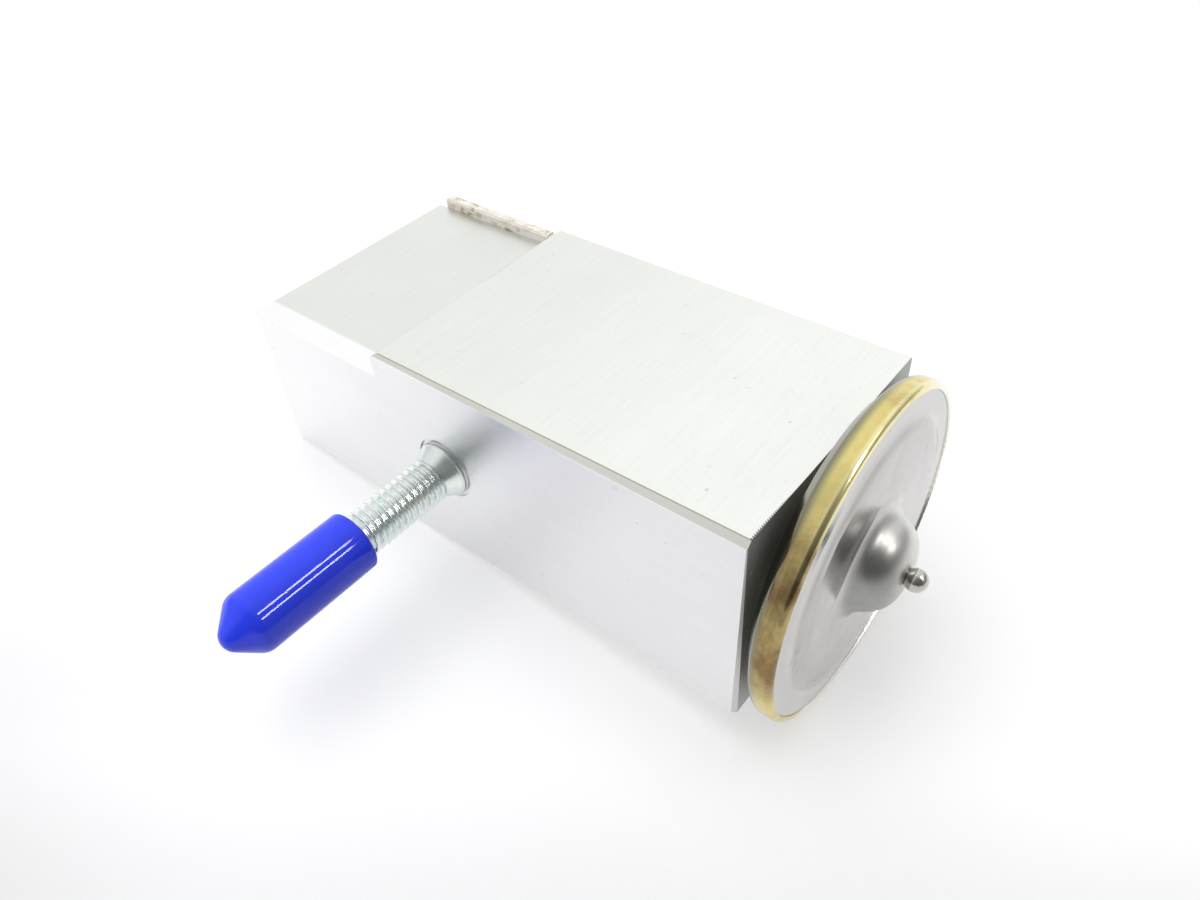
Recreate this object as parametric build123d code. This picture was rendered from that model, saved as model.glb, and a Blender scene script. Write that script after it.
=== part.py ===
from build123d import *
import math
import os

# Block-type thermostatic expansion valve for a vehicle air conditioner. All lengths are in millimetres.
#
# Origin: the mouth of the clamp screw hole, on the port face under the block.
# +X runs along the valve axis towards the power head, +Z from the port face to the top face,
# and the mounting stud leaves the front face along -Y.

os.makedirs("parts", exist_ok=True)

# ---- fits ----
running_gap = 0.05  # radial, between pieces that slide or turn in each other
seat_gap = 0.02  # radial, between pieces that stay put
overcut_length = 1.0  # how far a cutting tool runs past a face

# ---- block: an extruded bar, stepped down at its far end on both faces ----
block_width = 36.0
block_height = 29.7
clamp_to_head_face = 42.0
step_from_head = 54.5
tongue_length = 24.7
top_step = 3.5
bottom_step = 3.0
step_root_radius = 1.2
step_edge_radius = 1.5  # the rounded upper edge of the top step
bevel_width_at_step = 0.38
bevel_width_at_head = 0.7
corner_bevel_width_top = 0.08
corner_bevel_width_bottom = 0.55
edge_break_width = 0.35

# ---- ports: the suction pair near the head, the liquid pair beside the needle ----
suction_from_head = 20.0
suction_socket_radius = 9.0
suction_passage_radius = 7.5
suction_inlet_depth = 7.5
suction_outlet_depth = 7.0
evaporator_feed_from_suction = 27.5
feed_socket_radius = 6.5
feed_socket_depth = 8.5
feed_passage_radius = 3.5
liquid_inlet_from_suction = 42.0
liquid_socket_radius = 5.75
liquid_socket_depth = 5.8
liquid_passage_radius = 3.0
port_lead_in_depth = 0.9  # 45 degree chamfer where an O-ring enters
clamp_hole_radius = 2.5
clamp_hole_depth = 8.0
far_clamp_from_suction = 15.2
far_clamp_hole_depth = 9.5
drill_point_angle = 59.0  # half of a 118 degree point

# ---- bores on the valve axis, from the adjuster's end to the head ----
adjuster_thread_radius = 6.9
adjuster_bore_depth = 6.2
seal_bore_radius = 6.0
seal_bore_depth = 10.2
chamber_radius = 5.2
ball_seat_from_suction = 34.2
seat_cone_depth = 0.8
orifice_radius = 2.0
orifice_length = 3.2
expansion_room_radius = 4.0
expansion_room_length = 7.5
rod_radius = 3.0
rod_pocket_radius = 5.0
rod_pocket_depth = 4.5
head_window_radius = 4.6
neck_radius = 11.0
neck_length = 8.0
head_seal_seat_radius = 12.7
head_seal_seat_depth = 1.3

# ---- mounting stud and its cap, measured out from the front face ----
stud_from_head = 44.3
stud_height = 15.5
stud_radius = 2.95
stud_engagement = 9.5
stud_length = 31.2
stud_end_chamfer = 0.7
collar_radius = 3.95
collar_thickness = 0.6
collar_cone_length = 1.9
collar_sink_radius = 4.45
collar_sink_depth = 0.3
cap_start = 15.0
cap_length = 19.0
cap_outer_radius = 3.95
cap_wall_end = 2.5
cap_nose_length = 3.3
cap_nose_radius = 0.9
cap_rim_round = 0.42
cap_shoulder_round = 2.0
cap_tip_round = 2.0

# ---- power head, measured out from the block's end face ----
head_radius = 21.2
rim_back = 2.9
rim_front = 5.55
rim_wall_thickness = 0.92
rim_turn_width = 2.6  # from the back plate's edge to the rim's outside
rim_back_round_radius = 1.5
rim_front_round_radius = 0.7
lip_round_radius = 0.15
flange_front = 5.35
shoulder_radius = 14.2
shoulder_height = 0.85
back_plate_height = 1.35
shell_wall = 0.8
sheet_bend_radius = 0.6
seam_width = 2.56  # the stretch of rim where the shells clamp the diaphragm
pressure_room_floor = 1.65
pressure_room_slope_width = 2.1
neck_bore_radius = 6.2
diaphragm_thickness = 0.15
diaphragm_pressed_in = 0.7
fold_gap = 0.1  # between the diaphragm's fold and the shells' edges
plateau_slope_width = 0.75
plateau_rise = 0.52
dome_foot_radius = 6.25
dome_foot_round = 0.8
dome_shoulder_radius = 5.05
dome_height = 4.48  # from the plateau
dome_shoulder_round = 4.0
plug_ball_radius = 1.4
plug_ball_stand = 1.0  # ball centre above the dome's top

# ---- valve train, which the diaphragm pushes ----
stop_rim_gap = 0.5
stop_thickness = 1.1
stop_boss_radius = 4.6
stop_boss_length = 4.2
rod_socket_depth = 2.6
rod_length = 41.5
pin_radius = 0.9
pin_socket_depth = 2.0
ball_radius = 3.2
ball_lift = 0.2  # the ball stands this far off its seat at rest
carrier_radius = 4.3
carrier_length = 3.0  # from where the ball touches it to the spring's seat
carrier_cup_lip = 0.6  # how far the cup reaches past that touch
carrier_cup_floor_radius = 0.7
carrier_spigot_radius = 2.8
carrier_spigot_length = 2.6
damper_thickness = 0.25
damper_leg_length = 2.8
damper_leg_width = 1.6

# ---- superheat spring and adjuster ----
spring_wire_radius = 0.5
spring_mean_radius = 3.7
spring_turns = 4.5
adjuster_recess = 1.0
adjuster_thread_length = 4.4
adjuster_length = 8.2
adjuster_spigot_length = 1.5
adjuster_seal_room = 0.95
hex_across_flats = 6.0
hex_depth = 4.2

# ---- seal rings and clip ----
head_seal_wire = 0.62
rod_seal_wire = 0.93
adjuster_seal_wire = 0.62
adjuster_seal_play = 0.3
clip_thickness = 0.8
clip_gap_width = 1.6
clip_rod_gap = 0.3

# ---- foam strip on the far face, along the tongue ----
strip_thickness = 1.6
strip_width = 5.0
strip_length = 21.5
strip_stands_proud = 1.5
strip_from_step = 1.8

# ---- places worked out from the sizes above ----
axis_z = block_height / 2
front_y = -block_width / 2
far_y = block_width / 2
head_x = clamp_to_head_face
step_x = head_x - step_from_head
tongue_x = step_x - tongue_length
tongue_top_z = block_height - top_step
suction_x = head_x - suction_from_head
feed_x = suction_x - evaporator_feed_from_suction
liquid_x = suction_x - liquid_inlet_from_suction
far_clamp_x = suction_x - far_clamp_from_suction
stud_x = head_x - stud_from_head
orifice_mouth_x = suction_x - ball_seat_from_suction
chamber_front_x = orifice_mouth_x - seat_cone_depth
expansion_room_x = orifice_mouth_x + orifice_length
guide_start_x = expansion_room_x + expansion_room_length
pocket_mouth_x = suction_x - suction_passage_radius
guide_radius = rod_radius + running_gap
neck_floor_x = head_x - neck_length - seat_gap
seat_cone_radius = orifice_radius + seat_cone_depth

lip_radius = head_radius - rim_wall_thickness
back_plate_radius = head_radius - rim_turn_width
ledge_radius = lip_radius - seam_width
annulus_radius = ledge_radius - 3 * fold_gap
plateau_radius = annulus_radius - plateau_slope_width
pressure_room_radius = ledge_radius - pressure_room_slope_width
stop_radius = pressure_room_radius - stop_rim_gap
ledge_height = flange_front - shell_wall - diaphragm_thickness
diaphragm_floor = ledge_height - diaphragm_pressed_in
plateau = flange_front + plateau_rise
dome_top = plateau + dome_height
stop_floor = diaphragm_floor - stop_thickness
rod_top_x = head_x + stop_floor - stop_boss_length + rod_socket_depth
rod_end_x = rod_top_x - rod_length

# A ball in a 45 degree cone touches it at sin 45 of its radius.
ball_contact_radius = ball_radius * math.sin(math.radians(45))
ball_closed_x = orifice_mouth_x - (ball_contact_radius - orifice_radius) - ball_contact_radius
ball_x = ball_closed_x - ball_lift
carrier_back_x = ball_x - ball_contact_radius - carrier_length
damper_back_x = carrier_back_x - damper_thickness
adjuster_outer_x = tongue_x + adjuster_recess
adjuster_inner_x = adjuster_outer_x + adjuster_length

valve_axis = Plane(origin=(0, 0, axis_z), x_dir=(1, 0, 0), z_dir=(0, 0, 1))
stud_axis = Plane(origin=(stud_x, front_y, stud_height), x_dir=(0, -1, 0), z_dir=(0, 0, 1))


def turned(place, corners):
    """A turned solid: corners are (along, radius, rounding), revolved about the place's X direction."""
    points = [(along, radius) for along, radius, _ in corners]
    roundings = [rounding for _, _, rounding in corners]
    outline = make_face(FilletPolyline(*points, radius=roundings, close=True))
    return place.location * revolve(outline, axis=Axis.X)


def turned_sharp(place, corners):
    """The same with no rounding: corners are (along, radius)."""
    outline = make_face(Polyline(*corners, close=True))
    return place.location * revolve(outline, axis=Axis.X)


def ring(place, along, middle_radius, wire_radius):
    """A round-section seal ring about the place's X direction."""
    section = Pos(along, middle_radius) * Circle(wire_radius)
    return place.location * revolve(section, axis=Axis.X)


def bevel(start, end, side_a, side_b, leg_start, leg_end):
    """A 45 degree cutter along an edge; its legs change evenly from leg_start to leg_end."""
    a, b = Vector(*side_a), Vector(*side_b)
    along = (Vector(*end) - Vector(*start)).normalized()
    sections = []
    for point, leg in ((Vector(*start), leg_start), (Vector(*end), leg_end)):
        corners = [
            point + a * (leg + overcut_length) - b * overcut_length,
            point - a * overcut_length + b * (leg + overcut_length),
            point - a * overcut_length - b * overcut_length,
        ]
        sections.append(Plane(point, z_dir=along) * make_face_at(corners, point, along))
    return loft(sections, ruled=True)


def make_face_at(corners, origin, normal):
    """A polygon through corners, given in the local frame of the plane at origin."""
    plane = Plane(origin, z_dir=normal)
    return make_face(Polyline(*[plane.to_local_coords(corner) for corner in corners], close=True))


def port_core(mouth, inward, socket_radius, socket_depth, passage_radius, reach):
    """The space of one port: O-ring lead-in, pipe socket, then the passage to the valve axis."""
    place = Plane(origin=mouth, x_dir=inward, z_dir=(1, 0, 0))
    mouth_radius = socket_radius + port_lead_in_depth
    return turned_sharp(
        place,
        [
            (-overcut_length, 0),
            (-overcut_length, mouth_radius + overcut_length),
            (port_lead_in_depth, socket_radius),
            (socket_depth, socket_radius),
            (socket_depth, passage_radius),
            (reach, passage_radius),
            (reach, 0),
        ],
    )


def drilled_hole(mouth, inward, radius, depth):
    """A blind drilled hole with its pointed end."""
    place = Plane(origin=mouth, x_dir=inward, z_dir=(1, 0, 0))
    point = radius / math.tan(math.radians(drill_point_angle))
    outline = [(-overcut_length, 0), (-overcut_length, radius), (depth, radius), (depth + point, 0)]
    return turned_sharp(place, outline)


def axis_core():
    """Everything bored along the valve axis, from the adjuster's thread to the head's seat."""
    thread = adjuster_thread_radius + running_gap
    return turned_sharp(
        valve_axis,
        [
            (tongue_x - overcut_length, 0),
            (tongue_x - overcut_length, thread + edge_break_width + overcut_length),
            (tongue_x + edge_break_width, thread),
            (tongue_x + adjuster_bore_depth, thread),
            (tongue_x + adjuster_bore_depth, seal_bore_radius),
            (tongue_x + seal_bore_depth, seal_bore_radius),
            (tongue_x + seal_bore_depth, chamber_radius),
            (chamber_front_x, chamber_radius),
            (chamber_front_x, seat_cone_radius),
            (orifice_mouth_x, orifice_radius),
            (expansion_room_x, orifice_radius),
            (expansion_room_x, expansion_room_radius),
            (guide_start_x, expansion_room_radius),
            (guide_start_x, guide_radius),
            (pocket_mouth_x - rod_pocket_depth, guide_radius),
            (pocket_mouth_x - rod_pocket_depth, rod_pocket_radius),
            (suction_x, rod_pocket_radius),
            (suction_x, head_window_radius),
            (neck_floor_x, head_window_radius),
            (neck_floor_x, neck_radius + seat_gap),
            (head_x - head_seal_seat_depth, neck_radius + seat_gap),
            (head_x - head_seal_seat_depth, head_seal_seat_radius),
            (head_x + overcut_length, head_seal_seat_radius),
            (head_x + overcut_length, 0),
        ],
    )


def valve_body():
    """The extruded bar with its bores, ports, screw holes and broken edges."""
    outline = FilletPolyline(
        (tongue_x, bottom_step),
        (step_x, bottom_step),
        (step_x, 0),
        (head_x, 0),
        (head_x, block_height),
        (step_x, block_height),
        (step_x, tongue_top_z),
        (tongue_x, tongue_top_z),
        radius=[0, step_root_radius, 0, 0, 0, step_edge_radius, step_root_radius, 0],
        close=True,
    )
    bar = extrude(Plane.XZ.offset(-far_y) * make_face(outline), amount=block_width)
    bar -= axis_core()
    bar -= port_core(
        (suction_x, far_y, axis_z), (0, -1, 0), suction_socket_radius, suction_inlet_depth,
        suction_passage_radius, far_y,
    )
    bar -= port_core(
        (suction_x, 0, 0), (0, 0, 1), suction_socket_radius, suction_outlet_depth,
        suction_passage_radius, axis_z,
    )
    bar -= Pos(suction_x, 0, axis_z) * Sphere(suction_passage_radius)
    bar -= port_core(
        (feed_x, far_y, axis_z), (0, -1, 0), feed_socket_radius, feed_socket_depth,
        feed_passage_radius, far_y,
    )
    bar -= port_core(
        (liquid_x, 0, bottom_step), (0, 0, 1), liquid_socket_radius, liquid_socket_depth,
        liquid_passage_radius, axis_z - bottom_step,
    )
    bar -= drilled_hole((0, 0, 0), (0, 0, 1), clamp_hole_radius, clamp_hole_depth)
    bar -= drilled_hole((far_clamp_x, far_y, axis_z), (0, -1, 0), clamp_hole_radius, far_clamp_hole_depth)
    bar -= stud_axis.location * stud_hole_core()
    for cutter in edge_cutters():
        bar -= cutter
    return bar


def stud_hole_core():
    """The stud's threaded hole and the shallow sink under its collar, about its own X axis."""
    hole = stud_radius + seat_gap
    depth = stud_engagement + stud_end_chamfer
    outline = Polyline(
        (overcut_length, 0),
        (overcut_length, collar_sink_radius),
        (-collar_sink_depth, collar_sink_radius),
        (-collar_sink_depth, hole),
        (-depth, hole),
        (-depth, 0),
        close=True,
    )
    return revolve(make_face(outline), axis=Axis.X)


def edge_cutters():
    """The broken edges of the bar; the front ones widen towards the head's lower corner."""
    up, down, into, out, forward, back = (
        (0, 0, 1), (0, 0, -1), (0, 1, 0), (0, -1, 0), (1, 0, 0), (-1, 0, 0),
    )
    return [
        bevel(
            (step_x, front_y, block_height), (head_x, front_y, block_height),
            down, into, bevel_width_at_step, bevel_width_at_head,
        ),
        bevel(
            (head_x, front_y, block_height), (head_x, front_y, 0),
            back, into, corner_bevel_width_top, corner_bevel_width_bottom,
        ),
        bevel(
            (tongue_x, front_y, tongue_top_z), (step_x, front_y, tongue_top_z),
            down, into, edge_break_width, edge_break_width,
        ),
        bevel((step_x, front_y, 0), (head_x, front_y, 0), up, into, edge_break_width, edge_break_width),
        bevel(
            (tongue_x, front_y, bottom_step), (step_x, front_y, bottom_step),
            up, into, edge_break_width, edge_break_width,
        ),
        bevel(
            (step_x, far_y, block_height), (head_x, far_y, block_height),
            down, out, edge_break_width, edge_break_width,
        ),
    ]


def mounting_stud():
    """Plain at the thread's outer diameter, with the rolled collar that stops it in the block."""
    cone_start = collar_thickness
    cone_end = cone_start + collar_cone_length
    return turned_sharp(
        stud_axis,
        [
            (-stud_engagement, 0),
            (-stud_engagement, stud_radius - stud_end_chamfer),
            (-stud_engagement + stud_end_chamfer, stud_radius),
            (-collar_sink_depth, stud_radius),
            (-collar_sink_depth, collar_radius),
            (cone_start, collar_radius),
            (cone_end, stud_radius),
            (stud_length - stud_end_chamfer, stud_radius),
            (stud_length, stud_radius - stud_end_chamfer),
            (stud_length, 0),
        ],
    )


def stud_cap():
    """A dipped vinyl cap with a soft rim and a rounded cone for a nose; its bore ends as the stud does."""
    tip = cap_start + cap_length
    bore = stud_radius + running_gap
    bore_end = tip - cap_wall_end
    bore_end_radius = bore - stud_end_chamfer
    return turned(
        stud_axis,
        [
            (cap_start, bore, cap_rim_round),
            (cap_start, cap_outer_radius, cap_rim_round),
            (tip - cap_nose_length, cap_outer_radius, cap_shoulder_round),
            (tip, cap_nose_radius, cap_tip_round),
            (tip, 0, 0),
            (bore_end, 0, 0),
            (bore_end, bore_end_radius, 0),
            (bore_end - stud_end_chamfer, bore, 0),
        ],
    )


def lower_shell():
    """Threaded neck, clamping shoulder and the rolled rim that holds the upper shell."""
    neck_tip = -neck_length
    corners = [
        (neck_tip, neck_bore_radius, 0),
        (neck_tip, neck_radius - stud_end_chamfer, 0),
        (neck_tip + stud_end_chamfer, neck_radius, 0),
        (0, neck_radius, 0),
        (0, shoulder_radius, 0),
        (shoulder_height, shoulder_radius, 0),
        (back_plate_height, back_plate_radius, sheet_bend_radius),
        (rim_back, head_radius, rim_back_round_radius),
        (rim_front, head_radius, rim_front_round_radius),
        (rim_front, lip_radius, lip_round_radius),
        (ledge_height, lip_radius, 0),
        (ledge_height, ledge_radius, 0),
        (pressure_room_floor, pressure_room_radius, sheet_bend_radius),
        (pressure_room_floor, neck_bore_radius, 0),
    ]
    return turned(valve_axis, [(head_x + along, radius, rounding) for along, radius, rounding in corners])


def upper_shell():
    """Stamped cover: flat clamping ring, slightly raised plateau, then the dome that holds the charge."""
    hole = math.sqrt(plug_ball_radius**2 - plug_ball_stand**2) + seat_gap
    outer_ring = lip_radius - seat_gap
    corners = [
        (flange_front, outer_ring, lip_round_radius),
        (flange_front, annulus_radius, sheet_bend_radius),
        (plateau, plateau_radius, sheet_bend_radius),
        (plateau, dome_foot_radius, dome_foot_round),
        (dome_top, dome_shoulder_radius, dome_shoulder_round),
        (dome_top, hole, 0),
        (dome_top - shell_wall, hole, 0),
        (dome_top - shell_wall, dome_shoulder_radius - shell_wall, dome_shoulder_round - shell_wall),
        (plateau - shell_wall, dome_foot_radius - shell_wall, dome_foot_round + shell_wall),
        (plateau - shell_wall, plateau_radius, sheet_bend_radius),
        (flange_front - shell_wall, annulus_radius, sheet_bend_radius),
        (flange_front - shell_wall, outer_ring, 0),
    ]
    return turned(valve_axis, [(head_x + along, radius, rounding) for along, radius, rounding in corners])


def diaphragm():
    """A thin pressed disc: its rim lies between the shells, its middle on the stop."""
    low, high = diaphragm_floor, ledge_height
    outer = lip_radius - seat_gap
    fold_top = ledge_radius - fold_gap
    fold_foot = plateau_radius - fold_gap
    corners = [
        (low, 0),
        (low, fold_foot),
        (high, fold_top),
        (high, outer),
        (high + diaphragm_thickness, outer),
        (high + diaphragm_thickness, fold_top),
        (low + diaphragm_thickness, fold_foot),
        (low + diaphragm_thickness, 0),
    ]
    return turned_sharp(valve_axis, [(head_x + along, radius) for along, radius in corners])


def charge_plug():
    """The steel ball welded into the filling hole on top of the dome."""
    return Pos(head_x + dome_top + plug_ball_stand, 0, axis_z) * Sphere(plug_ball_radius)


def diaphragm_stop():
    """The plate under the diaphragm, with the boss that the feeler rod stands in."""
    boss_end = stop_floor - stop_boss_length
    socket_radius = rod_radius + seat_gap
    corners = [
        (diaphragm_floor, 0),
        (diaphragm_floor, stop_radius),
        (stop_floor, stop_radius),
        (stop_floor, stop_boss_radius),
        (boss_end, stop_boss_radius),
        (boss_end, socket_radius),
        (boss_end + rod_socket_depth, socket_radius),
        (boss_end + rod_socket_depth, 0),
    ]
    return turned_sharp(valve_axis, [(head_x + along, radius) for along, radius in corners])


def feeler_rod():
    """Stands in the suction gas and carries its temperature up to the head."""
    pin_hole = pin_radius + seat_gap
    return turned_sharp(
        valve_axis,
        [
            (rod_top_x, 0),
            (rod_top_x, rod_radius - edge_break_width),
            (rod_top_x - edge_break_width, rod_radius),
            (rod_end_x + edge_break_width, rod_radius),
            (rod_end_x, rod_radius - edge_break_width),
            (rod_end_x, pin_hole),
            (rod_end_x + pin_socket_depth, pin_hole),
            (rod_end_x + pin_socket_depth, 0),
        ],
    )


def actuating_pin():
    """Goes through the orifice, from the rod to the ball."""
    start = rod_end_x + pin_socket_depth
    end = ball_x + ball_radius
    return turned_sharp(valve_axis, [(start, 0), (start, pin_radius), (end, pin_radius), (end, 0)])


def valve_ball():
    return Pos(ball_x, 0, axis_z) * Sphere(ball_radius)


def ball_carrier():
    """Cupped seat for the ball, with a spigot that centres the spring."""
    touch_x = ball_x - ball_contact_radius
    foot_x = touch_x - (ball_contact_radius - carrier_cup_floor_radius)
    front_radius = ball_contact_radius + carrier_cup_lip
    return turned_sharp(
        valve_axis,
        [
            (foot_x - seat_gap, 0),
            (foot_x - seat_gap, carrier_cup_floor_radius),
            (touch_x + carrier_cup_lip - seat_gap, front_radius),
            (touch_x + carrier_cup_lip - seat_gap, carrier_radius),
            (carrier_back_x, carrier_radius),
            (carrier_back_x, carrier_spigot_radius),
            (carrier_back_x - carrier_spigot_length, carrier_spigot_radius),
            (carrier_back_x - carrier_spigot_length, 0),
        ],
    )


def damping_spring():
    """A spring washer with bowed legs that rub on the chamber and stop the ball from chattering."""
    inner = carrier_spigot_radius + seat_gap
    washer = turned_sharp(
        valve_axis,
        [
            (damper_back_x, inner),
            (damper_back_x, carrier_radius + damper_thickness + seat_gap),
            (carrier_back_x, carrier_radius + damper_thickness + seat_gap),
            (carrier_back_x, inner),
        ],
    )
    foot_radius = carrier_radius + seat_gap
    leg_reach = math.sqrt((chamber_radius - running_gap) ** 2 - (damper_leg_width / 2) ** 2)
    bow_radius = leg_reach - damper_thickness
    middle_x = carrier_back_x + damper_leg_length / 2
    end_x = carrier_back_x + damper_leg_length
    inside = ThreePointArc((damper_back_x, foot_radius), (middle_x, bow_radius), (end_x, foot_radius))
    outside = ThreePointArc(
        (damper_back_x, foot_radius + damper_thickness),
        (middle_x, bow_radius + damper_thickness),
        (end_x, foot_radius + damper_thickness),
    )
    ends = [Line(inside @ 0, outside @ 0), Line(inside @ 1, outside @ 1)]
    leg_side = make_face([inside, outside, *ends])
    leg = extrude(leg_side, amount=damper_leg_width / 2, both=True)
    for turn in range(3):
        washer += valve_axis.location * (Rot(120 * turn, 0, 0) * leg)
    return washer


def superheat_spring():
    """Round-wire coil spring between the ball carrier and the adjuster."""
    start_x = adjuster_inner_x + spring_wire_radius + seat_gap
    end_x = damper_back_x - spring_wire_radius - seat_gap
    length = end_x - start_x
    path = Helix(length / spring_turns, length, spring_mean_radius, direction=(1, 0, 0))
    section = Plane(origin=path @ 0, z_dir=path % 0) * Circle(spring_wire_radius)
    return Pos(start_x, 0, axis_z) * sweep(section, path=path, is_frenet=True)


def adjusting_nut():
    """Threaded plug with a hexagon socket, a seal groove and a spigot for the spring."""
    shank_radius = seal_bore_radius - running_gap
    groove_start = adjuster_inner_x - adjuster_seal_room - 2 * adjuster_seal_wire - adjuster_seal_play
    groove_end = adjuster_inner_x - adjuster_seal_room + adjuster_seal_play
    groove_radius = shank_radius - 2 * adjuster_seal_wire
    plug = turned_sharp(
        valve_axis,
        [
            (adjuster_outer_x, 0),
            (adjuster_outer_x, adjuster_thread_radius - edge_break_width),
            (adjuster_outer_x + edge_break_width, adjuster_thread_radius),
            (adjuster_outer_x + adjuster_thread_length, adjuster_thread_radius),
            (adjuster_outer_x + adjuster_thread_length, shank_radius),
            (groove_start, shank_radius),
            (groove_start, groove_radius),
            (groove_end, groove_radius),
            (groove_end, shank_radius),
            (adjuster_inner_x, shank_radius),
            (adjuster_inner_x, carrier_spigot_radius),
            (adjuster_inner_x + adjuster_spigot_length, carrier_spigot_radius),
            (adjuster_inner_x + adjuster_spigot_length, 0),
        ],
    )
    socket_plane = Plane(origin=(adjuster_outer_x, 0, axis_z), x_dir=(0, 1, 0), z_dir=(1, 0, 0))
    hexagon = RegularPolygon(hex_across_flats / 2, 6, major_radius=False)
    return plug - extrude(socket_plane * hexagon, amount=hex_depth)


def adjuster_seal():
    """Travels with the adjusting nut in its groove."""
    shank_radius = seal_bore_radius - running_gap
    groove_radius = shank_radius - 2 * adjuster_seal_wire
    middle = (groove_radius + seal_bore_radius) / 2
    along = adjuster_inner_x - adjuster_seal_room - adjuster_seal_wire
    return ring(valve_axis, along, middle, adjuster_seal_wire - running_gap / 2)


def head_seal():
    """Lies in the recess under the head's shoulder."""
    middle = (neck_radius + head_seal_seat_radius) / 2
    wire = min(head_seal_wire, (head_seal_seat_radius - neck_radius) / 2 - seat_gap)
    return ring(valve_axis, head_x - wire - seat_gap, middle, wire)


def rod_seal():
    """Keeps the liquid side's pressure from the suction passage."""
    middle = (rod_radius + rod_pocket_radius) / 2
    along = pocket_mouth_x - rod_pocket_depth + rod_seal_wire + seat_gap
    return ring(valve_axis, along, middle, rod_seal_wire)


def rod_seal_clip():
    """Open spring ring that holds the rod's seal in its pocket."""
    back_x = pocket_mouth_x - rod_pocket_depth + 2 * rod_seal_wire + 2 * seat_gap
    inner = rod_radius + clip_rod_gap
    outer = rod_pocket_radius - seat_gap
    disc = turned_sharp(
        valve_axis,
        [
            (back_x, inner),
            (back_x, outer),
            (back_x + clip_thickness, outer),
            (back_x + clip_thickness, inner),
        ],
    )
    slot = Pos(back_x + clip_thickness / 2, 0, axis_z + outer / 2 + inner / 2) * Box(
        2 * clip_thickness, clip_gap_width, outer
    )
    return disc - slot


def seal_strip():
    """Foam bar stuck to the far face, a little above the stepped-down end."""
    end_x = step_x - strip_from_step
    top_z = tongue_top_z + strip_stands_proud
    low = (end_x - strip_length, far_y, top_z - strip_width)
    corner = (Align.MIN, Align.MIN, Align.MIN)
    return Pos(*low) * Box(strip_length, strip_thickness, strip_width, align=corner)


pieces = {
    "valve_body": valve_body,
    "mounting_stud": mounting_stud,
    "stud_cap": stud_cap,
    "head_lower_shell": lower_shell,
    "head_upper_shell": upper_shell,
    "diaphragm": diaphragm,
    "charge_plug": charge_plug,
    "diaphragm_stop": diaphragm_stop,
    "feeler_rod": feeler_rod,
    "actuating_pin": actuating_pin,
    "valve_ball": valve_ball,
    "ball_carrier": ball_carrier,
    "damping_spring": damping_spring,
    "superheat_spring": superheat_spring,
    "adjusting_nut": adjusting_nut,
    "adjuster_seal_ring": adjuster_seal,
    "head_seal_ring": head_seal,
    "rod_seal_ring": rod_seal,
    "rod_seal_clip": rod_seal_clip,
    "seal_strip": seal_strip,
}

for name, make in pieces.items():
    export_step(make(), f"parts/{name}.step")
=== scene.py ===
import math

import bmesh
import bpy
from mathutils import Matrix, Vector


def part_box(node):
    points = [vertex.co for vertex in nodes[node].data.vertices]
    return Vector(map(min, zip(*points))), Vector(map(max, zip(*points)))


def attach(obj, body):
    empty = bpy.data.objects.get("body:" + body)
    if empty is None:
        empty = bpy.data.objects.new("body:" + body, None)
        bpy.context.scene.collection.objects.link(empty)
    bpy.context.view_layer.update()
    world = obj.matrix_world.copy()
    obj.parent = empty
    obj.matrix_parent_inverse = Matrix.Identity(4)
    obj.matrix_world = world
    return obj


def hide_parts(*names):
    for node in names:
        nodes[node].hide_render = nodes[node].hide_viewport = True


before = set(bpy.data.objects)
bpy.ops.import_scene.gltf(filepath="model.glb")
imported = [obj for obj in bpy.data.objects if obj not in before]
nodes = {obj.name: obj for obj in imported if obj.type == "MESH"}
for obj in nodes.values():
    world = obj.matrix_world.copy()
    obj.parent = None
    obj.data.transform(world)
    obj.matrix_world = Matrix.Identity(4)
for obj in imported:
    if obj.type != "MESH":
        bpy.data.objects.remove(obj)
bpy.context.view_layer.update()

MM = 0.001
IMAGE_WIDTH = 1200

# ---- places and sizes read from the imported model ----
block_low, block_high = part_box("valve_body")
stud_low, stud_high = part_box("mounting_stud")
strip_low, strip_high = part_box("seal_strip")
axis_z = (block_low[2] + block_high[2]) / 2
head_face_x = block_high[0]
front_y = block_low[1]
collar_radius = (stud_high[0] - stud_low[0]) / 2
stud_centre_x = (stud_high[0] + stud_low[0]) / 2
stud_centre_z = (stud_high[2] + stud_low[2]) / 2
# Chosen: the step, its slanting bevel, the cutter's pitch, where the rim's colours change
# and where the dome starts.
step_x = -12.5 * MM
bevel_width_at_step = 0.38 * MM
bevel_width_at_head = 0.70 * MM
bevel_line_width = 0.20 * MM
cutter_notch_pitch = 0.34 * MM
rim_back_x = head_face_x + 3.5 * MM
rim_lip_x = head_face_x + 5.3 * MM
dome_foot_radius = 8.0 * MM

# ---- the stud's thread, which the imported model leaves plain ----
thread_pitch = 1.0 * MM
thread_depth = 0.56 * MM
thread_crest_radius = 2.94 * MM
collar_thickness = 0.6 * MM
collar_sink = 0.3 * MM
collar_cone_end = 2.5 * MM
collar_edge_break = 0.10 * MM
stud_end_chamfer = 0.7 * MM
thread_steps_round = 96
thread_steps_per_pitch = 12

# ---- the foam strip's cut edges ----
strip_edge_softening = 0.22 * MM
strip_unevenness = 0.045 * MM

# ---- the light tent, as seen from the valve ----
tent_low = 0.36
tent_high = 0.50
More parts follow.
